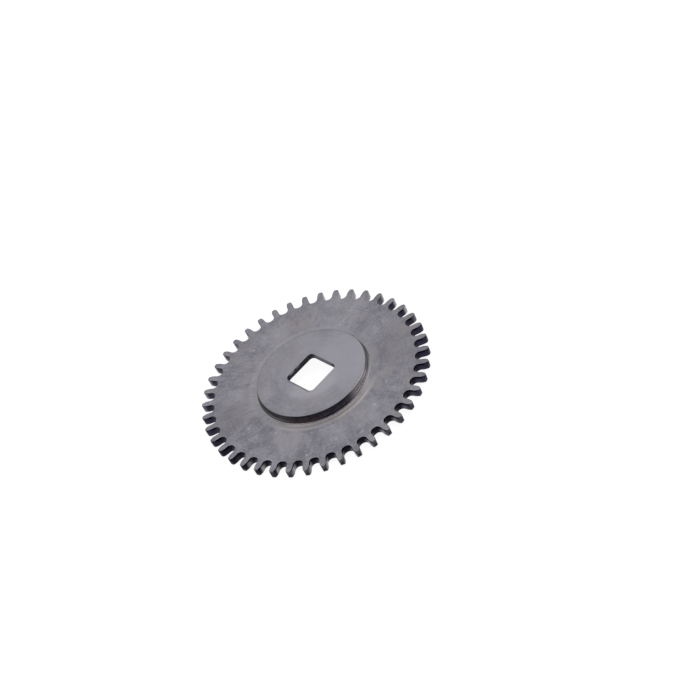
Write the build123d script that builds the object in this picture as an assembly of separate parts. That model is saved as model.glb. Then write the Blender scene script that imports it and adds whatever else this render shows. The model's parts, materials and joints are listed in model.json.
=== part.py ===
"""Ratchet wheel of a mechanical watch, machined from one piece of hardened steel.

The wheel lies on its flat back with its boss up. The origin is at the centre of the
back face, +Z runs along the arbor towards the boss, and one tooth is centred on +X.
Millimetres and degrees.
"""
import os
from math import asin, atan2, cos, hypot, pi, sin, sqrt

from build123d import *

# Toothing
teeth = 42
module = 0.18
addendum = 0.22          # from the pitch circle out to the tips
dedendum = 0.24          # from the pitch circle in to the bottom of the gaps
tooth_thickness = 0.22   # measured along the pitch circle
tip_rounding = 0.085
gap_fillet = 0.155       # where each flank meets the bottom of its gap

# Rim of the blank, turned with rounded edges before the teeth are cut
blank_allowance = 0.01   # how far the rim stands outside the finished tips
front_rim_rounding = 0.06
back_rim_rounding = 0.10

# Plate and boss
plate_thickness = 0.29
boss_diameter = 3.84
boss_height = 0.23       # above the plate
boss_edge_rounding = 0.03
boss_foot_fillet = 0.10

# Shallow ring turned around the foot of the boss
relief_width = 0.36
relief_depth = 0.02
relief_slope_width = 0.12

# Square for the barrel arbor, broached through the web under the boss face
square_size = 1.25
square_corner = 0.15
square_turn = 36.3       # between a flat and the tooth on +X
square_edge_break = 0.025

# Recess in the back that takes the head of the ratchet screw
recess_diameter = 2.80
web_thickness = 0.20     # what is left between the recess and the boss face
recess_edge_break = 0.03

pitch_radius = module * teeth / 2
tip_radius = pitch_radius + addendum
root_radius = pitch_radius - dedendum
boss_radius = boss_diameter / 2
recess_radius = recess_diameter / 2
boss_face = plate_thickness + boss_height
recess_floor = boss_face - web_thickness
relief_floor = plate_thickness - relief_depth


def polar(radius, angle):
    """Point at a radius and an angle in radians."""
    return (radius * cos(angle), radius * sin(angle))


def arc_between(centre, start, end):
    """The shorter arc around a centre from one point to another."""
    radius = hypot(start[0] - centre[0], start[1] - centre[1])
    middle = ((start[0] + end[0]) / 2 - centre[0], (start[1] + end[1]) / 2 - centre[1])
    reach = radius / hypot(*middle)
    through = (centre[0] + middle[0] * reach, centre[1] + middle[1] * reach)
    return ThreePointArc(start, through, end)


def tooth_side():
    """Half of one tooth and half of the gap beside it, from the tip down to mid-gap."""
    half_tooth = tooth_thickness / 2 / pitch_radius
    half_pitch = pi / teeth

    # The face is one arc, tangent to the radial flank at the pitch circle and to the
    # small rounding at the tip.
    pitch_point = polar(pitch_radius, half_tooth)
    tip_centre = (tip_radius - tip_rounding, 0)
    run = tip_centre[0] - pitch_point[0]
    rise = pitch_point[1]
    face_radius = (run**2 + rise**2 - tip_rounding**2) / (
        2 * (run * sin(half_tooth) + rise * cos(half_tooth) - tip_rounding)
    )
    face_centre = (
        pitch_point[0] + face_radius * sin(half_tooth),
        pitch_point[1] - face_radius * cos(half_tooth),
    )
    lean = atan2(tip_centre[1] - face_centre[1], tip_centre[0] - face_centre[0])
    tip_end = (
        tip_centre[0] + tip_rounding * cos(lean),
        tip_centre[1] + tip_rounding * sin(lean),
    )

    # The gap's fillet touches the flank and the root circle, and fits inside the gap.
    widest = root_radius * sin(half_pitch - half_tooth) / (1 - sin(half_pitch - half_tooth))
    fillet_radius = min(gap_fillet, 0.98 * widest)
    fillet_reach = root_radius + fillet_radius
    fillet_angle = half_tooth + asin(fillet_radius / fillet_reach)
    fillet_centre = polar(fillet_reach, fillet_angle)
    flank_end = polar(sqrt(fillet_reach**2 - fillet_radius**2), half_tooth)
    root_start = polar(root_radius, fillet_angle)
    mid_gap = polar(root_radius, half_pitch)

    return [
        arc_between(tip_centre, (tip_radius, 0), tip_end),
        arc_between(face_centre, tip_end, pitch_point),
        Line(pitch_point, flank_end),
        arc_between(fillet_centre, flank_end, root_start),
        arc_between((0, 0), root_start, mid_gap),
    ]


def toothed_outline():
    """The wheel seen along its axis: one tooth, mirrored and repeated around the axis."""
    left = tooth_side()
    right = [edge.mirror(Plane.XZ) for edge in left]
    edges = []
    for index in range(teeth):
        turn = Rot(0, 0, 360 * index / teeth)
        edges += [turn * edge for edge in left + right]
    return make_face(Wire.combine(edges)[0])


def turned_blank():
    """The wheel before its teeth and square are cut, as half a section spun round."""
    rim = tip_radius + blank_allowance
    relief_radius = boss_radius + relief_width
    back_corner = (rim - back_rim_rounding, 0)
    rim_start = (rim, back_rim_rounding)
    rim_end = (rim, plate_thickness - front_rim_rounding)
    front_corner = (rim - front_rim_rounding, plate_thickness)
    foot_start = (boss_radius + boss_foot_fillet, relief_floor)
    foot_end = (boss_radius, relief_floor + boss_foot_fillet)
    wall_end = (boss_radius, boss_face - boss_edge_rounding)
    shoulder = (boss_radius - boss_edge_rounding, boss_face)
    with BuildSketch(Plane.XZ) as section:
        with BuildLine():
            Polyline(
                (0, boss_face),
                (0, recess_floor),
                (recess_radius, recess_floor),
                (recess_radius, recess_edge_break),
                (recess_radius + recess_edge_break, 0),
                back_corner,
            )
            RadiusArc(back_corner, rim_start, -back_rim_rounding)
            Line(rim_start, rim_end)
            RadiusArc(rim_end, front_corner, -front_rim_rounding)
            Polyline(
                front_corner,
                (relief_radius, plate_thickness),
                (relief_radius - relief_slope_width, relief_floor),
                foot_start,
            )
            RadiusArc(foot_start, foot_end, boss_foot_fillet)
            Line(foot_end, wall_end)
            RadiusArc(wall_end, shoulder, -boss_edge_rounding)
            Line(shoulder, (0, boss_face))
        make_face()
    return revolve(section.sketch, Axis.Z)


def arbor_square():
    """The broached square, from the floor of the recess to the boss face."""
    outline = RectangleRounded(square_size, square_size, square_corner)
    square = extrude(Pos(0, 0, recess_floor) * outline, web_thickness)
    return Rot(0, 0, square_turn) * square


def ratchet_wheel():
    """The turned blank with its teeth cut, its square broached and the square's edge broken."""
    toothing = extrude(toothed_outline(), boss_face)
    wheel = (turned_blank() & toothing) - arbor_square()
    top = wheel.faces().filter_by(Axis.Z).sort_by(Axis.Z)[-1]
    return chamfer(top.inner_wires()[0].edges(), square_edge_break)


os.makedirs("parts", exist_ok=True)
wheel = ratchet_wheel()
wheel.label = "ratchet_wheel"
export_step(wheel, "parts/ratchet_wheel.step")
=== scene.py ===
"""Ratchet wheel of a watch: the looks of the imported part, its light and its camera.

The wheel is modelled in millimetres and brought to metres at the end. It lies on its back
face at the origin, boss up, with one tooth on +X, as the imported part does.
"""
import json
from math import asin, atan2, cos, pi, radians, sin, sqrt

import bmesh
import bpy
from mathutils import Matrix, Vector


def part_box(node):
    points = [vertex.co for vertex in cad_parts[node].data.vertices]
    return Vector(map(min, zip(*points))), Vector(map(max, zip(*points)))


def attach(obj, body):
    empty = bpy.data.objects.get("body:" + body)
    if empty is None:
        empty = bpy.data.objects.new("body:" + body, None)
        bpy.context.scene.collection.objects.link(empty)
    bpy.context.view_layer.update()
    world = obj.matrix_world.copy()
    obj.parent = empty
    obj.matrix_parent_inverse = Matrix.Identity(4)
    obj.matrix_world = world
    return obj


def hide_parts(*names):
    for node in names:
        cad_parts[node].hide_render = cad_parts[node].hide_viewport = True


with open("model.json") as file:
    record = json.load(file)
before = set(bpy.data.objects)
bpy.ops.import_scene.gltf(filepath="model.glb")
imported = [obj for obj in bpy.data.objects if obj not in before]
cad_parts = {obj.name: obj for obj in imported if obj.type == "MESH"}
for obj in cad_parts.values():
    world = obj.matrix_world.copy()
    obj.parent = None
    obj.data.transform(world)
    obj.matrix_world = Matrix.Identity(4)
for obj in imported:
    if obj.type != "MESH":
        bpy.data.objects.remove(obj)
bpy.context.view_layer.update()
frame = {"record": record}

MM = 0.001
AXIS = Vector((0, 0, 1))
ACROSS = Vector((0, 1, 0))
NODE = "ratchet_wheel"

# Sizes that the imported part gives, in millimetres
mounts = {mount["name"]: mount for mount in frame["record"]["mounts"]}
TIP_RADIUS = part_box(NODE)[1].x / MM
BOSS_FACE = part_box(NODE)[1].z / MM
RECESS_RADIUS = mounts["screw_recess"]["dims"]["r_mm"]

# Toothing, as in the part's source
TEETH = 42
PITCH_RADIUS = 3.78
ROOT_RADIUS = 3.54
TOOTH_THICKNESS = 0.22
TIP_ROUNDING = 0.085
GAP_FILLET = 0.155
TOOTH_EDGE_BREAK = 0.012
FRONT_RIM_ROUNDING = 0.06
BACK_RIM_ROUNDING = 0.10
BLANK_ALLOWANCE = 0.01

# Plate, boss and the ring turned round its foot
PLATE = 0.29
BOSS_RADIUS = 1.92
BOSS_EDGE = 0.03
FOOT_FILLET = 0.10
RELIEF_WIDTH = 0.36
RELIEF_DEPTH = 0.02
RELIEF_SLOPE = 0.12

# Recess in the back and the square through the web. The recess's inner corner is rounded a
# little, as a tool leaves it, and the square's broken edge is finer than in the solid.
WEB = 0.20
RECESS_EDGE_BREAK = 0.03
RECESS_CORNER = 0.04
SQUARE = 1.25
SQUARE_CORNER = 0.15
SQUARE_TURN = radians(36.3)
SQUARE_EDGE_BREAK = 0.01

# Steps that draw a full turn and the arcs of the sections
TURNED_STEPS = 240
TIP_STEPS = 5
FACE_STEPS = 9
GAP_STEPS = 10
FOOT_STEPS = 8
RIM_STEPS = 8
EDGE_STEPS = 4
TOOTH_EDGE_STEPS = 2
SQUARE_CORNER_STEPS = 6

# Points closer than this are one, and a height is met within it, in millimetres.
CLOSE = 1e-4

# A face whose normal points this much up or down is flat.
LEVEL = 0.999

# Faces of the wheel take one of these finishes, by its place in the piece's materials.
LAPPED, BACK, FLANK, BOSS_TOP, BOSS_WALL, SQUARE_WALL = range(6)

# Stage, light and camera, in metres and watts
FLOOR_DEPTH = 0.02 * MM
FLOOR_REACH = 1.5
FLOOR_TONE = 0.35
FLOOR_GLOW = 0.9
STUDIO_FILL = 0.24
LAMPS = {
    "key": {"place": (0.03, -0.158, 0.19), "size": 0.26, "power": 0.17},
    "side": {"place": (-0.16, -0.11, 0.15), "size": 0.16, "power": 0.09},
    "overhead": {"place": (-0.07, -0.06, 0.25), "size": 0.2, "power": 0.06},
}
CAMERA_LENS = 77.24
CAMERA_SENSOR = 36
CAMERA_TURN = -2.995
CAMERA_TILT = 0.8267
CAMERA_ROLL = -0.4582
CAMERA_BACK_OFF = Vector((0.3053, 0.2200, 12.4427)) * TIP_RADIUS * MM


# ---------------------------------------------------------------- the wheel's mesh

def swing(bm, start, centre, axis, angle, steps):
    """Carries a vertex round a centre, leaving a chain of edges, and gives the last vertex."""
    spun = bmesh.ops.spin(
        bm, geom=[start], cent=centre, axis=axis, angle=angle, steps=steps, use_merge=False
    )
    return next(item for item in spun["geom_last"] if isinstance(item, bmesh.types.BMVert))


def step_to(bm, start, place):
    """Carries a vertex straight to a place, leaving an edge, and gives the new vertex."""
    drawn = bmesh.ops.extrude_vert_indiv(bm, verts=[start])["verts"][0]
    drawn.co = place
    return drawn


def polar(radius, angle):
    """Point in the plane of the wheel at a radius and an angle."""
    return Vector((radius * cos(angle), radius * sin(angle), 0))


def merge(bm):
    """Makes one point of those that lie together."""
    bmesh.ops.remove_doubles(bm, verts=bm.verts[:], dist=CLOSE)


def half_tooth(bm):
    """Draws one side of the tooth on +X, from its tip down to the middle of the gap."""
    half_angle = TOOTH_THICKNESS / 2 / PITCH_RADIUS
    half_pitch = pi / TEETH
    flank_direction = Vector((-sin(half_angle), cos(half_angle), 0))

    # The face is an arc tangent to the radial flank and to the rounding of the tip.
    pitch_point = polar(PITCH_RADIUS, half_angle)
    tip_centre = Vector((TIP_RADIUS - TIP_ROUNDING, 0, 0))
    to_tip = tip_centre - pitch_point
    face_radius = (to_tip.length_squared - TIP_ROUNDING**2) / (
        -2 * (to_tip.dot(flank_direction) + TIP_ROUNDING)
    )
    face_centre = pitch_point - flank_direction * face_radius
    lean = atan2(tip_centre.y - face_centre.y, tip_centre.x - face_centre.x)

    # The fillet touches the flank and the root circle.
    fillet_reach = ROOT_RADIUS + GAP_FILLET
    fillet_angle = half_angle + asin(GAP_FILLET / fillet_reach)
    fillet_centre = polar(fillet_reach, fillet_angle)
    flank_end = polar(sqrt(fillet_reach**2 - GAP_FILLET**2), half_angle)
    fillet_turn = pi / 2 - (fillet_angle - half_angle)

    tip = bm.verts.new((TIP_RADIUS, 0, 0))
    shoulder = swing(bm, tip, tip_centre, AXIS, lean, TIP_STEPS)
    pitch_vert = swing(bm, shoulder, face_centre, AXIS, half_angle + pi / 2 - lean, FACE_STEPS)
    flank_foot = step_to(bm, pitch_vert, flank_end)
    root = swing(bm, flank_foot, fillet_centre, AXIS, -fillet_turn, GAP_STEPS)
    swing(bm, root, (0, 0, 0), AXIS, half_pitch - fillet_angle, 1)


def toothed_outline():
    """Closed outline of all the teeth, as edges in the plane z = 0."""
    bm = bmesh.new()
    half_tooth(bm)
    other_side = bmesh.ops.duplicate(bm, geom=bm.verts[:] + bm.edges[:])["geom"]
    bmesh.ops.scale(
        bm, vec=(1, -1, 1), verts=[v for v in other_side if isinstance(v, bmesh.types.BMVert)]
    )
    merge(bm)
    bmesh.ops.spin(
        bm,
        geom=bm.verts[:] + bm.edges[:],
        cent=(0, 0, 0),
        axis=AXIS,
        angle=2 * pi,
        steps=TEETH,
        use_duplicate=True,
    )
    merge(bm)
    return bm


def toothed_plate():
    """The toothed rim with softened edges, open at its two flat faces."""
    bm = toothed_outline()
    lower = bmesh.ops.contextual_create(bm, geom=bm.edges[:])["faces"][0]
    raised = bmesh.ops.extrude_face_region(bm, geom=[lower])["geom"]
    upper = next(item for item in raised if isinstance(item, bmesh.types.BMFace))
    bmesh.ops.translate(bm, vec=(0, 0, PLATE), verts=upper.verts[:])
    bmesh.ops.recalc_face_normals(bm, faces=bm.faces[:])
    for face in bm.faces:
        face.material_index = FLANK
        face.smooth = True
    bmesh.ops.bevel(
        bm,
        geom=list(lower.edges) + list(upper.edges),
        offset=TOOTH_EDGE_BREAK,
        segments=TOOTH_EDGE_STEPS,
        profile=0.5,
        affect="EDGES",
        material=-1,
    )
    flats = [face for face in bm.faces if abs(face.normal.z) > LEVEL]
    bmesh.ops.delete(bm, geom=flats, context="FACES_ONLY")
    return bm


def spin_section(bm, draw):
    """Draws a section at azimuth zero with draw(), and spins it round the axis."""
    before = set(bm.verts)
    draw(bm)
    section = [v for v in bm.verts if v not in before]
    edges = {edge for vert in section for edge in vert.link_edges}
    bmesh.ops.spin(
        bm,
        geom=section + list(edges),
        cent=(0, 0, 0),
        axis=AXIS,
        angle=2 * pi,
        steps=TURNED_STEPS,
        use_merge=True,
    )


def relief_section(bm):
    """The shallow turned ring, from the plate's face in to the foot of the boss."""
    outer = bm.verts.new((BOSS_RADIUS + RELIEF_WIDTH, 0, PLATE))
    floor = PLATE - RELIEF_DEPTH
    inner = step_to(bm, outer, (outer.co.x - RELIEF_SLOPE, 0, floor))
    step_to(bm, inner, (BOSS_RADIUS + FOOT_FILLET, 0, floor))


def boss_wall_section(bm):
    """The boss's foot and wall."""
    foot = BOSS_RADIUS + FOOT_FILLET
    floor = PLATE - RELIEF_DEPTH
    foot_start = bm.verts.new((foot, 0, floor))
    fillet_centre = (foot, 0, floor + FOOT_FILLET)
    wall_start = swing(bm, foot_start, fillet_centre, ACROSS, pi / 2, FOOT_STEPS)
    step_to(bm, wall_start, (BOSS_RADIUS, 0, BOSS_FACE - BOSS_EDGE))


def boss_edge_section(bm):
    """The rounding from the boss's wall onto its face."""
    edge_centre = (BOSS_RADIUS - BOSS_EDGE, 0, BOSS_FACE - BOSS_EDGE)
    wall_end = bm.verts.new((BOSS_RADIUS, 0, BOSS_FACE - BOSS_EDGE))
    swing(bm, wall_end, edge_centre, ACROSS, -pi / 2, EDGE_STEPS)


def recess_section(bm):
    """From the back face up the wall of the recess and onto its floor."""
    floor = BOSS_FACE - WEB
    mouth = bm.verts.new((RECESS_RADIUS + RECESS_EDGE_BREAK, 0, 0))
    wall_start = step_to(bm, mouth, (RECESS_RADIUS, 0, RECESS_EDGE_BREAK))
    wall_end = step_to(bm, wall_start, (RECESS_RADIUS, 0, floor - RECESS_CORNER))
    corner_centre = (RECESS_RADIUS - RECESS_CORNER, 0, floor - RECESS_CORNER)
    swing(bm, wall_end, corner_centre, ACROSS, -pi / 2, EDGE_STEPS)


def at_height(bm, height):
    """The open edges that lie at a height."""
    return [
        edge
        for edge in bm.edges
        if len(edge.link_faces) < 2 and all(abs(v.co.z - height) < CLOSE for v in edge.verts)
    ]


def fill_flat(bm, height, finish):
    """Closes a flat face between the open edges at a height."""
    filled = bmesh.ops.triangle_fill(
        bm, edges=at_height(bm, height), use_beauty=True, normal=AXIS
    )["geom"]
    for face in filled:
        if isinstance(face, bmesh.types.BMFace):
            face.material_index = finish
            face.smooth = False


def solid_wheel():
    """The whole wheel without its square, its tips not yet rounded towards the faces."""
    bm = toothed_plate()
    sections = {
        relief_section: LAPPED,
        boss_wall_section: BOSS_WALL,
        boss_edge_section: BOSS_WALL,
        recess_section: BACK,
    }
    for draw, finish in sections.items():
        old_faces = set(bm.faces)
        spin_section(bm, draw)
        for face in set(bm.faces) - old_faces:
            face.material_index = finish
            face.smooth = True
    merge(bm)
    fill_flat(bm, 0, BACK)
    fill_flat(bm, PLATE, LAPPED)
    fill_flat(bm, BOSS_FACE, BOSS_TOP)
    fill_flat(bm, BOSS_FACE - WEB, BACK)
    bmesh.ops.recalc_face_normals(bm, faces=bm.faces[:])
    return bm


def rim_cutter(rounding, face_height, outward):
    """A ring that rounds the tips of the teeth towards the face at a height.

    outward is 1 for the face that looks up and -1 for the one that looks down.
    """
    # The rounding starts a little past its tangent to the face, so the cut is clean there.
    skim = radians(3)
    blank = TIP_RADIUS + BLANK_ALLOWANCE
    centre = Vector((blank - rounding, 0, -rounding))
    bm = bmesh.new()

    def ring_section(bm):
        start = bm.verts.new(centre + rounding * Vector((sin(skim), 0, cos(skim))))
        rim = swing(bm, start, centre, ACROSS, pi / 2 - skim, RIM_STEPS)
        outside = step_to(bm, rim, (blank + rounding, 0, rim.co.z))
        above = step_to(bm, outside, (outside.co.x, 0, rounding))
        back = step_to(bm, above, (start.co.x, 0, above.co.z))
        step_to(bm, back, start.co)

    spin_section(bm, ring_section)
    merge(bm)
    bmesh.ops.scale(bm, vec=(1, 1, outward), verts=bm.verts[:])
    bmesh.ops.translate(bm, vec=(0, 0, face_height), verts=bm.verts[:])
    bmesh.ops.recalc_face_normals(bm, faces=bm.faces[:])
    for face in bm.faces:
        face.material_index = LAPPED if outward > 0 else BACK
        face.smooth = True
    return bm


def square_cutter():
    """The broach's square with its rounded corners, widening at the mouth to break the edge.

    It widens by 45 degrees from just under the boss's face to just over it.
    """
    bm = bmesh.new()
    bmesh.ops.create_cube(bm, size=1)
    bmesh.ops.scale(bm, vec=(SQUARE, SQUARE, 2 * WEB), verts=bm.verts[:])
    uprights = [e for e in bm.edges if abs(e.verts[0].co.z - e.verts[1].co.z) > WEB]
    bmesh.ops.bevel(
        bm,
        geom=uprights,
        offset=SQUARE_CORNER,
        segments=SQUARE_CORNER_STEPS,
        profile=0.5,
        affect="EDGES",
        material=-1,
    )
    bmesh.ops.translate(bm, vec=(0, 0, BOSS_FACE - SQUARE_EDGE_BREAK - WEB), verts=bm.verts[:])
    top = max(bm.faces, key=lambda face: face.calc_center_median().z)
    widened = bmesh.ops.extrude_face_region(bm, geom=[top])["geom"]
    bmesh.ops.delete(bm, geom=[top], context="FACES_ONLY")
    mouth = [item for item in widened if isinstance(item, bmesh.types.BMVert)]
    wider = 1 + 4 * SQUARE_EDGE_BREAK / SQUARE
    bmesh.ops.scale(bm, vec=(wider, wider, 1), verts=mouth)
    bmesh.ops.translate(bm, vec=(0, 0, 2 * SQUARE_EDGE_BREAK), verts=mouth)
    bmesh.ops.rotate(
        bm, cent=(0, 0, 0), matrix=Matrix.Rotation(SQUARE_TURN, 3, "Z"), verts=bm.verts[:]
    )
    bmesh.ops.recalc_face_normals(bm, faces=bm.faces[:])
    for face in bm.faces:
        face.material_index = SQUARE_WALL
        face.smooth = False
    return bm


def object_from(bm, name, finishes=()):
    """Makes an object of a bmesh."""
    mesh = bpy.data.meshes.new(name)
    bm.to_mesh(mesh)
    bm.free()
    for finish in finishes:
        mesh.materials.append(finish)
    piece = bpy.data.objects.new(name, mesh)
    bpy.context.scene.collection.objects.link(piece)
    return piece


def cut_away(piece, cutter):
    """Cuts one object out of another for good, and removes the cutter."""
    boolean = piece.modifiers.new("cut", "BOOLEAN")
    boolean.operation = "DIFFERENCE"
    boolean.solver = "EXACT"
    boolean.object = cutter
    bpy.context.view_layer.update()
    evaluated = piece.evaluated_get(bpy.context.evaluated_depsgraph_get())
    mesh = bpy.data.meshes.new_from_object(evaluated)
    piece.modifiers.clear()
    piece.data = mesh
    bpy.data.objects.remove(cutter)


def make_wheel(finishes):
    """The finished wheel, in metres."""
    wheel = object_from(solid_wheel(), "steel_ratchet_wheel", finishes)
    front_cutter = rim_cutter(FRONT_RIM_ROUNDING, PLATE, 1)
    back_cutter = rim_cutter(BACK_RIM_ROUNDING, 0, -1)
    cut_away(wheel, object_from(front_cutter, "front_rim_cutter", finishes))
    cut_away(wheel, object_from(back_cutter, "back_rim_cutter", finishes))
    cut_away(wheel, object_from(square_cutter(), "square_cutter", finishes))
    bm = bmesh.new()
    bm.from_mesh(wheel.data)

    # The cuts leave a few slivers of no length or no area.
    bmesh.ops.dissolve_degenerate(bm, dist=CLOSE, edges=bm.edges[:])
    bmesh.ops.scale(bm, vec=(MM, MM, MM), verts=bm.verts[:])
    bm.to_mesh(wheel.data)
    bm.free()
    return wheel


# ---------------------------------------------------------------- finishes

class Finish:
    """One finish of the steel, patterned in millimetres from the middle of the back face."""

    def __init__(self, name, roughness=0.4):
        self.material = bpy.data.materials.new(name)
        self.material.use_nodes = True
        self.tree = self.material.node_tree
        self.shader = self.tree.nodes["Principled BSDF"]
        self.shader.inputs["Metallic"].default_value = 1
        self.shader.inputs["Roughness"].default_value = roughness
        metres = self.tree.nodes.new("ShaderNodeTexCoord").outputs["Object"]
        self.place = self.vector("MULTIPLY", metres, (1 / MM, 1 / MM, 1 / MM))
        self.flat_place = self.vector("MULTIPLY", self.place, (1, 1, 0))
        self.radius = self.vector("LENGTH", self.flat_place, (0, 0, 0))
        self.height = self.vector("DOT_PRODUCT", self.place, AXIS)

    def join(self, value, socket):
        """Feeds a socket from another socket, or sets it to a plain value."""
        if isinstance(value, bpy.types.NodeSocket):
            self.tree.links.new(value, socket)
        else:
            socket.default_value = value

    def maths(self, operation, first, second=0.0):
        node = self.tree.nodes.new("ShaderNodeMath")
        node.operation = operation
        self.join(first, node.inputs[0])
        self.join(second, node.inputs[1])
        return node.outputs[0]

    def vector(self, operation, first, second):
        node = self.tree.nodes.new("ShaderNodeVectorMath")
        node.operation = operation
        self.join(first, node.inputs[0])
        self.join(second, node.inputs[1])
        measures = operation in ("LENGTH", "DISTANCE", "DOT_PRODUCT")
        return node.outputs["Value" if measures else "Vector"]

    def product(self, *values):
        """Multiplies patterns and shares, which leaves what is inside all of them."""
        result = values[0]
        for value in values[1:]:
            result = self.maths("MULTIPLY", result, value)
        return result

    def total(self, *values):
        """Adds patterns."""
        result = values[0]
        for value in values[1:]:
            result = self.maths("ADD", result, value)
        return result

    def highest(self, *values):
        """Takes the highest of some patterns, which leaves what is inside any of them."""
        result = values[0]
        for value in values[1:]:
            result = self.maths("MAXIMUM", result, value)
        return result

    def rescale(self, value, low, high, at_low, at_high):
        """Maps low..high onto at_low..at_high softly, and holds it there outside."""
        node = self.tree.nodes.new("ShaderNodeMapRange")
        node.interpolation_type = "SMOOTHSTEP"
        self.join(value, node.inputs["Value"])
        limits = {"From Min": low, "From Max": high, "To Min": at_low, "To Max": at_high}
        for socket, limit in limits.items():
            node.inputs[socket].default_value = limit
        return node.outputs["Result"]

    def above(self, value, low, high):
        """0 below low, 1 above high."""
        return self.rescale(value, low, high, 0.0, 1.0)

    def below(self, value, low, high):
        """1 below low, 0 above high."""
        return self.rescale(value, low, high, 1.0, 0.0)

    def mottling(self, per_mm, detail=3.0, roughness=0.5):
        """Cloudy patches, about per_mm of them to the millimetre."""
        node = self.tree.nodes.new("ShaderNodeTexNoise")
        self.join(self.place, node.inputs["Vector"])
        node.inputs["Scale"].default_value = per_mm
        node.inputs["Detail"].default_value = detail
        node.inputs["Roughness"].default_value = roughness
        return node.outputs["Fac"]

    def turning_marks(self, per_mm, detail=2.0):
        """Fine rings round the axis, as a lathe tool or a lapping disc leaves them."""
        node = self.tree.nodes.new("ShaderNodeTexNoise")
        node.noise_dimensions = "1D"
        self.join(self.radius, node.inputs["W"])
        node.inputs["Scale"].default_value = per_mm
        node.inputs["Detail"].default_value = detail
        return node.outputs["Fac"]

    def spot(self, radius, azimuth, size, core=0.3):
        """A soft patch of a size, at a radius and an azimuth in degrees: 1 inside, 0 outside."""
        middle = polar(radius, radians(azimuth))
        away = self.vector("DISTANCE", self.flat_place, middle)
        return self.below(away, core * size, size)

    def blend(self, first, second, share):
        """Mixes two colours."""
        node = self.tree.nodes.new("ShaderNodeMix")
        node.data_type = "RGBA"
        self.join(share, node.inputs["Factor"])
        for colour, socket in ((first, node.inputs["A"]), (second, node.inputs["B"])):
            plain = not isinstance(colour, bpy.types.NodeSocket)
            self.join((*colour, 1) if plain else colour, socket)
        return node.outputs["Result"]

    def paint(self, under, colour, *masks):
        """Lays a colour over another inside all the masks."""
        return self.blend(under, colour, self.product(*masks))

    def emboss(self, pattern, depth_mm):
        """Raises the surface by a pattern of 0 to 1, depth_mm deep."""
        bump = self.tree.nodes.new("ShaderNodeBump")
        bump.inputs["Distance"].default_value = depth_mm * MM
        self.join(pattern, bump.inputs["Height"])
        self.join(bump.outputs["Normal"], self.shader.inputs["Normal"])

    def coloured(self, colour):
        """Takes its colour, and gives the material."""
        self.join(colour, self.shader.inputs["Base Color"])
        return self.material


def lapped_steel():
    """The plate: satin steel with fine rings, lighter and darker patches, small pits, a few
    stains, and painted sheen and highlights on the ring round the boss.
    """
    finish = Finish("lapped_steel")
    rings = finish.turning_marks(14)
    clouds = finish.mottling(0.7, 2, 0.5)
    smudges = finish.mottling(2.6, 5, 0.7)
    grain = finish.mottling(10, 2, 0.6)
    fine = finish.total(finish.product(rings, 0.15), finish.product(grain, 0.62))
    tone = finish.total(fine, finish.total(smudges, finish.product(clouds, 0.3)))
    darker, lighter = (0.178, 0.172, 0.197), (0.344, 0.334, 0.379)
    steel = finish.blend(darker, lighter, finish.above(tone, 0.77, 1.45))
    brown = finish.above(finish.mottling(1.3, 4, 0.65), 0.47, 0.70)
    steel = finish.paint(steel, (0.258, 0.239, 0.247), brown, 0.75)
    stains = finish.above(finish.mottling(3.1, 2, 0.45), 0.64, 0.74)
    steel = finish.paint(steel, (0.16, 0.154, 0.165), stains, 0.55)
    specks = finish.above(finish.mottling(5.3, 1, 0.4), 0.73, 0.80)
    steel = finish.paint(steel, (0.45, 0.44, 0.47), specks, 0.6)

    # Lighter patches: radius, azimuth and size
    patches = (
        (2.9, 244, 1.6),
        (2.6, 294, 0.8),
        (2.7, 121, 0.9),
        (2.75, 62, 0.8),
        (2.88, 96, 0.6),
        (2.48, 206, 0.55),
        (2.85, 287, 0.5),
        (2.85, 353, 0.6),
    )
    for patch in patches:
        steel = finish.paint(steel, (0.40, 0.388, 0.425), finish.spot(*patch), 0.3)

    # Two darker stretches near the rim
    darker_stretches = finish.highest(finish.spot(3.3, 178, 1.7), finish.spot(3.4, 8, 1.3))
    steel = finish.paint(steel, (0.2, 0.19, 0.21), darker_stretches, 0.45)

    # The turned ring round the boss is duller and lighter, and on one side it carries a painted
    # sheen.
    edge = BOSS_RADIUS + RELIEF_WIDTH
    ring = finish.below(finish.radius, edge - 0.04, edge + 0.06)
    steel = finish.paint(steel, (0.34, 0.33, 0.36), ring, 0.3)
    # Painted sheen on one stretch of the ring
    sheen_stretch = finish.product(ring, finish.spot(2.1, 98, 2.3, 0.5))
    steel = finish.paint(steel, (0.50, 0.468, 0.473), sheen_stretch, 0.88)

    # Its outer slope has a painted highlight on one stretch, and its floor keeps the turning
    # grooves.
    slope = finish.product(
        finish.above(finish.radius, edge - 0.14, edge - 0.06),
        finish.below(finish.radius, edge - 0.04, edge + 0.03),
    )
    steel = finish.paint(steel, (0.62, 0.58, 0.57), slope, finish.spot(2.25, 120, 0.9))
    grooves = finish.above(finish.turning_marks(12, 1), 0.44, 0.60)
    steel = finish.paint(steel, (0.33, 0.315, 0.32), grooves, sheen_stretch, 0.5)
    # Painted highlight along the foot of the boss on one side
    inner = finish.below(finish.radius, edge - 0.22, edge - 0.12)
    steel = finish.paint(steel, (0.72, 0.68, 0.68), inner, finish.spot(2.05, 92, 1.5, 0.6))

    dullness = finish.rescale(clouds, 0.3, 0.7, 0.42, 0.36)
    dullness = finish.total(dullness, finish.product(sheen_stretch, 0.12))
    finish.join(dullness, finish.shader.inputs["Roughness"])
    finish.emboss(rings, 0.0009)
    return finish.coloured(steel)


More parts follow.
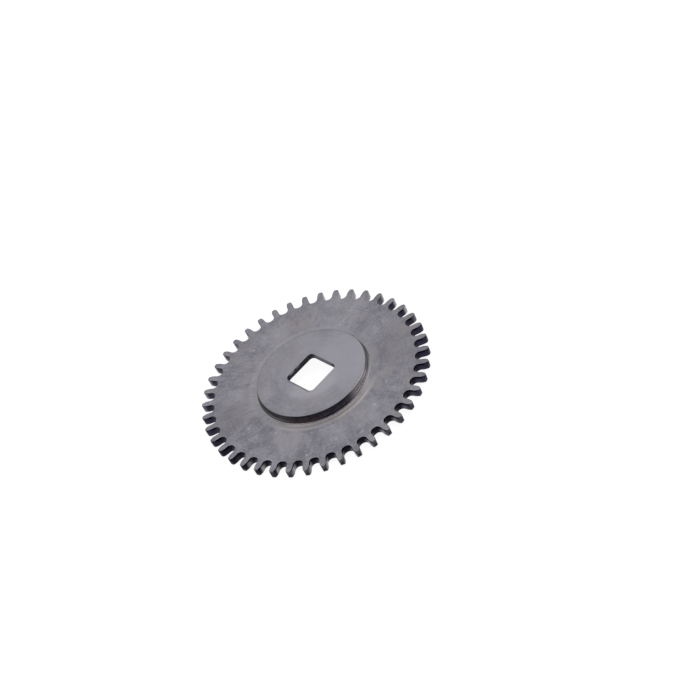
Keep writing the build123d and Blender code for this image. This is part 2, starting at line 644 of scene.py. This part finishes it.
def turned_back_steel():
    """The back and its recess: the same satin steel, plainer, with clearer turning marks."""
    finish = Finish("turned_back_steel", 0.38)
    rings = finish.turning_marks(11)
    clouds = finish.mottling(0.9, 3, 0.55)
    grain = finish.mottling(10, 2, 0.6)
    fine = finish.total(finish.product(rings, 0.4), finish.product(grain, 0.4))
    tone = finish.total(fine, clouds)
    darker, lighter = (0.215, 0.209, 0.236), (0.305, 0.296, 0.33)
    steel = finish.blend(darker, lighter, finish.above(tone, 0.6, 1.2))
    finish.emboss(rings, 0.0009)
    return finish.coloured(steel)


def boss_face_steel():
    """The boss's face: lighter and smoother, with a fainter inner ring."""
    finish = Finish("boss_face_steel", 0.36)
    rings = finish.turning_marks(9)
    clouds = finish.mottling(1.1, 4, 0.55)
    smudges = finish.mottling(3, 4, 0.7)
    grain = finish.mottling(10, 2, 0.6)
    inner_ring = finish.rescale(finish.radius, 1.08, 1.28, 0.10, 0.0)
    fine = finish.total(finish.product(rings, 0.15), finish.product(grain, 0.5))
    broad = finish.total(finish.product(smudges, 0.4), clouds)
    tone = finish.total(fine, broad, inner_ring)
    darker, lighter = (0.205, 0.199, 0.226), (0.303, 0.295, 0.332)
    steel = finish.blend(darker, lighter, finish.above(tone, 0.75, 1.4))
    brown = finish.above(finish.mottling(0.9, 4, 0.6), 0.50, 0.72)
    steel = finish.paint(steel, (0.265, 0.252, 0.262), brown, 0.6)

    # Painted sheen: lighter on one side, in a smaller patch across from it, and near the square
    steel = finish.paint(steel, (0.33, 0.32, 0.36), finish.spot(1.3, 178, 1.9), 0.75)
    steel = finish.paint(steel, (0.36, 0.35, 0.387), finish.spot(1.5, 262, 0.7), 0.4)
    inner = finish.below(finish.radius, 0.96, 1.25)
    steel = finish.paint(steel, (0.38, 0.37, 0.407), inner, finish.spot(0.95, 85, 1.2, 0.5), 0.6)

    # The square's edge is rolled over a little on one side, and its shade is painted there as a
    # darker line.
    along = finish.vector("DOT_PRODUCT", finish.place, polar(1, SQUARE_TURN))
    across = finish.vector("DOT_PRODUCT", finish.place, polar(1, SQUARE_TURN + pi / 2))
    beside = finish.highest(finish.maths("ABSOLUTE", along), finish.maths("ABSOLUTE", across))
    rolled = finish.below(beside, SQUARE / 2 + 0.03, SQUARE / 2 + 0.09)
    one_side = finish.spot(0.75, 40, 0.62, 0.75)
    steel = finish.paint(steel, (0.14, 0.135, 0.15), rolled, one_side, 0.7)
    finish.emboss(rings, 0.0005)
    return finish.coloured(steel)


def cut_flank_steel():
    """Tooth flanks: smooth, made dark by painted shade, with painted highlights at the tips and on
    two stretches.
    """
    finish = Finish("cut_flank_steel", 0.24)
    # Painted shade: a very dark tone for the dark surroundings that the flanks mirror, deepest in
    # the roots of the gaps.
    steel = finish.blend((0.012, 0.0115, 0.023), (0.032, 0.030, 0.053), finish.mottling(2.5, 3))
    root = finish.below(finish.radius, ROOT_RADIUS + 0.03, ROOT_RADIUS + 0.12)
    steel = finish.paint(steel, (0.006, 0.006, 0.010), root)
    # Painted shade, deepest on one stretch
    deepest_shade = finish.spot(3.8, 62, 3.3, 0.75)
    steel = finish.paint(steel, (0.005, 0.0046, 0.010), deepest_shade, 0.75)

    # Painted highlights on the tips, some stronger than others.
    tips = finish.above(finish.radius, TIP_RADIUS - 0.08, TIP_RADIUS - 0.03)
    upper = finish.above(finish.height, PLATE - 0.17, PLATE - 0.08)
    near_side = finish.spot(3.98, 100, 3.6, 0.6)
    steel = finish.paint(steel, (0.052, 0.050, 0.062), tips, upper, near_side)
    noses = finish.above(finish.radius, TIP_RADIUS - 0.19, TIP_RADIUS - 0.04)
    steel = finish.paint(steel, (0.36, 0.353, 0.385), noses, finish.spot(3.95, 224, 2.2, 0.6))
    steel = finish.paint(steel, (0.21, 0.206, 0.235), noses, finish.spot(3.95, 328, 2.2, 0.5))

    # Painted highlight on the flanks of one stretch, brightest halfway up.
    wide = finish.product(
        finish.above(finish.radius, ROOT_RADIUS + 0.03, ROOT_RADIUS + 0.09),
        finish.below(finish.radius, TIP_RADIUS - 0.08, TIP_RADIUS - 0.04),
    )
    steel = finish.paint(steel, (0.11, 0.107, 0.115), wide, finish.spot(3.8, 80, 1.1, 0.5))
    halfway = finish.product(
        finish.above(finish.radius, ROOT_RADIUS + 0.04, ROOT_RADIUS + 0.22),
        finish.below(finish.radius, PITCH_RADIUS - 0.01, PITCH_RADIUS + 0.10),
    )
    steel = finish.paint(steel, (0.23, 0.225, 0.235), halfway, finish.spot(3.8, 60, 1.7))

    # Painted highlight on another stretch.
    steel = finish.paint(steel, (0.22, 0.215, 0.235), finish.spot(3.8, 250, 2.2, 0.5))
    return finish.coloured(steel)


def boss_wall_steel():
    """The boss's wall: turned steel, painted shade on one side and at the foot, a painted sheen
    beside that, brown at the foot.
    """
    finish = Finish("boss_wall_steel", 0.24)
    clouds = finish.mottling(1.5, 3)
    # Where the wall carries a painted sheen
    painted_sheen = finish.spot(1.95, 142, 0.75, 0.4)
    # The near stretch, which carries painted shade, and at the outer foot a painted highlight
    near_stretch = finish.spot(1.95, 91, 1.45, 0.57)

    wall = finish.blend((0.36, 0.35, 0.37), (0.45, 0.437, 0.457), clouds)
    # Painted sheen on one stretch of the wall
    wall = finish.paint(wall, (1.0, 0.95, 0.96), painted_sheen)
    # Painted shade in patches on the near stretch
    shade_patches = finish.above(finish.mottling(6, 3, 0.7), 0.35, 0.65)
    near_shade = finish.blend((0.075, 0.07, 0.108), (0.15, 0.14, 0.18), shade_patches)
    wall = finish.paint(wall, near_shade, near_stretch)

    # Painted shade on the rounded edge: darker outside the far half and darkest on the near
    # stretch, lighter where the sheen is painted.
    far_half = finish.spot(1.92, 285, 3.3, 0.78)
    rounded = finish.blend((0.125, 0.121, 0.133), (0.26, 0.254, 0.275), far_half)
    rounded = finish.paint(rounded, (0.33, 0.318, 0.325), painted_sheen)
    rounded = finish.paint(rounded, (0.055, 0.052, 0.07), near_stretch)
    edge_start = BOSS_FACE - BOSS_EDGE
    edge = finish.above(finish.height, edge_start - 0.02, edge_start + 0.01)
    wall = finish.paint(wall, rounded, edge)

    # Painted shade in the corner at the foot: darker in the fillet and darkest on the near
    # stretch, with a darker and a lighter patch beside the sheen.
    fillet = finish.above(finish.radius, BOSS_RADIUS + 0.02, BOSS_RADIUS + 0.05)
    foot = finish.blend((0.37, 0.36, 0.38), (0.42, 0.41, 0.43), clouds)
    foot = finish.paint(foot, (0.20, 0.194, 0.20), finish.spot(1.95, 153, 0.6, 0.3))
    foot = finish.paint(foot, (0.42, 0.40, 0.405), finish.spot(1.95, 138, 0.4))
    foot = finish.paint(foot, (0.21, 0.204, 0.213), fillet)
    near_shade = finish.blend((0.050, 0.045, 0.062), (0.03, 0.027, 0.035), fillet)
    foot = finish.paint(foot, near_shade, near_stretch)
    steel = finish.paint(wall, foot, finish.below(finish.height, PLATE - 0.01, PLATE + 0.05))

    brown = finish.below(finish.height, PLATE - 0.02, PLATE + 0.12)
    steel = finish.paint(steel, (0.15, 0.10, 0.105), brown, finish.spot(1.95, 68, 0.95, 0.4), 0.75)
    # Painted highlight on the outer edge of the foot, lightest on the near stretch
    out = finish.above(finish.radius, BOSS_RADIUS + 0.065, BOSS_RADIUS + 0.095)
    outer = finish.blend((0.26, 0.25, 0.26), (0.72, 0.68, 0.68), near_stretch)
    return finish.coloured(finish.paint(steel, outer, out))


def broached_steel():
    """The square's walls: rough from the broach and very dark, lighter along the lip."""
    finish = Finish("broached_steel", 0.3)
    steel = finish.blend((0.012, 0.011, 0.018), (0.035, 0.032, 0.04), finish.mottling(3, 3))
    rubbed = finish.spot(0.68, 220, 0.55, 0.6)
    steel = finish.paint(steel, (0.11, 0.108, 0.125), rubbed)
    lip = finish.above(finish.height, BOSS_FACE - 0.075, BOSS_FACE - 0.035)
    chip = finish.spot(0.71, 334, 0.16)
    smaller_chip = finish.product(finish.spot(0.64, 309, 0.14), 0.5)
    chipped = finish.highest(chip, rubbed, smaller_chip)
    steel = finish.paint(steel, (0.2, 0.195, 0.215), lip, chipped)
    finish.shader.inputs["Specular Tint"].default_value = (0.55, 0.55, 0.6, 1)
    return finish.coloured(steel)


# ---------------------------------------------------------------- stage, light, camera

def make_floor():
    """A pale floor just under the wheel, white, that takes its shadow and is clear from below."""
    bm = bmesh.new()
    bmesh.ops.create_grid(bm, x_segments=1, y_segments=1, size=FLOOR_REACH)
    bmesh.ops.translate(bm, vec=(0, 0, -FLOOR_DEPTH), verts=bm.verts[:])
    material = bpy.data.materials.new("pale_floor")
    floor = object_from(bm, "floor", [material])
    material.use_nodes = True
    tree = material.node_tree
    shader = tree.nodes["Principled BSDF"]
    shader.inputs["Base Color"].default_value = (FLOOR_TONE, FLOOR_TONE, FLOOR_TONE, 1)
    shader.inputs["Roughness"].default_value = 0.9
    shader.inputs["Specular IOR Level"].default_value = 0
    shader.inputs["Emission Color"].default_value = (1, 1, 1, 1)

    # It glows for what looks at it or mirrors it, and lights nothing.
    rays = tree.nodes.new("ShaderNodeLightPath").outputs
    seen = rays["Is Camera Ray"]
    for ray in ("Is Glossy Ray", "Is Transmission Ray"):
        either = tree.nodes.new("ShaderNodeMath")
        either.operation = "MAXIMUM"
        tree.links.new(seen, either.inputs[0])
        tree.links.new(rays[ray], either.inputs[1])
        seen = either.outputs[0]
    glow = tree.nodes.new("ShaderNodeMath")
    glow.operation = "MULTIPLY"
    glow.inputs[1].default_value = FLOOR_GLOW
    tree.links.new(seen, glow.inputs[0])
    tree.links.new(glow.outputs[0], shader.inputs["Emission Strength"])

    # Its lower side is clear.
    lower_side = tree.nodes.new("ShaderNodeNewGeometry").outputs["Backfacing"]
    clear = tree.nodes.new("ShaderNodeBsdfTransparent")
    either_side = tree.nodes.new("ShaderNodeMixShader")
    tree.links.new(lower_side, either_side.inputs[0])
    tree.links.new(shader.outputs["BSDF"], either_side.inputs[1])
    tree.links.new(clear.outputs["BSDF"], either_side.inputs[2])
    tree.links.new(either_side.outputs["Shader"], tree.nodes["Material Output"].inputs["Surface"])


def make_world():
    """Even white light from all round."""
    world = bpy.data.worlds.new("studio")
    bpy.context.scene.world = world
    world.use_nodes = True
    background = world.node_tree.nodes["Background"]
    background.inputs["Color"].default_value = (1, 1, 1, 1)
    background.inputs["Strength"].default_value = STUDIO_FILL


def soft_lamp(name, place, size, power):
    """A square area lamp that faces the wheel."""
    data = bpy.data.lights.new(name, "AREA")
    data.shape = "SQUARE"
    data.size = size
    data.energy = power
    lamp = bpy.data.objects.new(name, data)
    lamp.location = place
    lamp.rotation_euler = (-Vector(place)).to_track_quat("-Z", "Y").to_euler()
    bpy.context.scene.collection.objects.link(lamp)


def make_camera():
    """Looks down on the wheel, turned about its own axis, with the wheel off its centre."""
    data = bpy.data.cameras.new("camera")
    data.lens = CAMERA_LENS
    data.sensor_width = CAMERA_SENSOR
    data.clip_start = MM
    data.clip_end = 10
    camera = bpy.data.objects.new("camera", data)
    centre = Matrix.Translation((0, 0, PLATE * MM))
    turn = Matrix.Rotation(CAMERA_TURN, 4, "Z")
    tilt = Matrix.Rotation(CAMERA_TILT, 4, "X")
    roll = Matrix.Rotation(CAMERA_ROLL, 4, "Z")
    back_off = Matrix.Translation(CAMERA_BACK_OFF)
    camera.matrix_world = centre @ turn @ tilt @ roll @ back_off
    bpy.context.scene.collection.objects.link(camera)
    bpy.context.scene.camera = camera


# In the order of LAPPED, BACK, FLANK, BOSS_TOP, BOSS_WALL, SQUARE_WALL
finishes = [
    lapped_steel(),
    turned_back_steel(),
    cut_flank_steel(),
    boss_face_steel(),
    boss_wall_steel(),
    broached_steel(),
]
wheel = make_wheel(finishes)
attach(wheel, "root")
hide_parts(NODE)

make_floor()
make_world()
for lamp_name, lamp in LAMPS.items():
    soft_lamp(lamp_name, **lamp)
make_camera()

bpy.context.scene.view_settings.view_transform = "Standard"
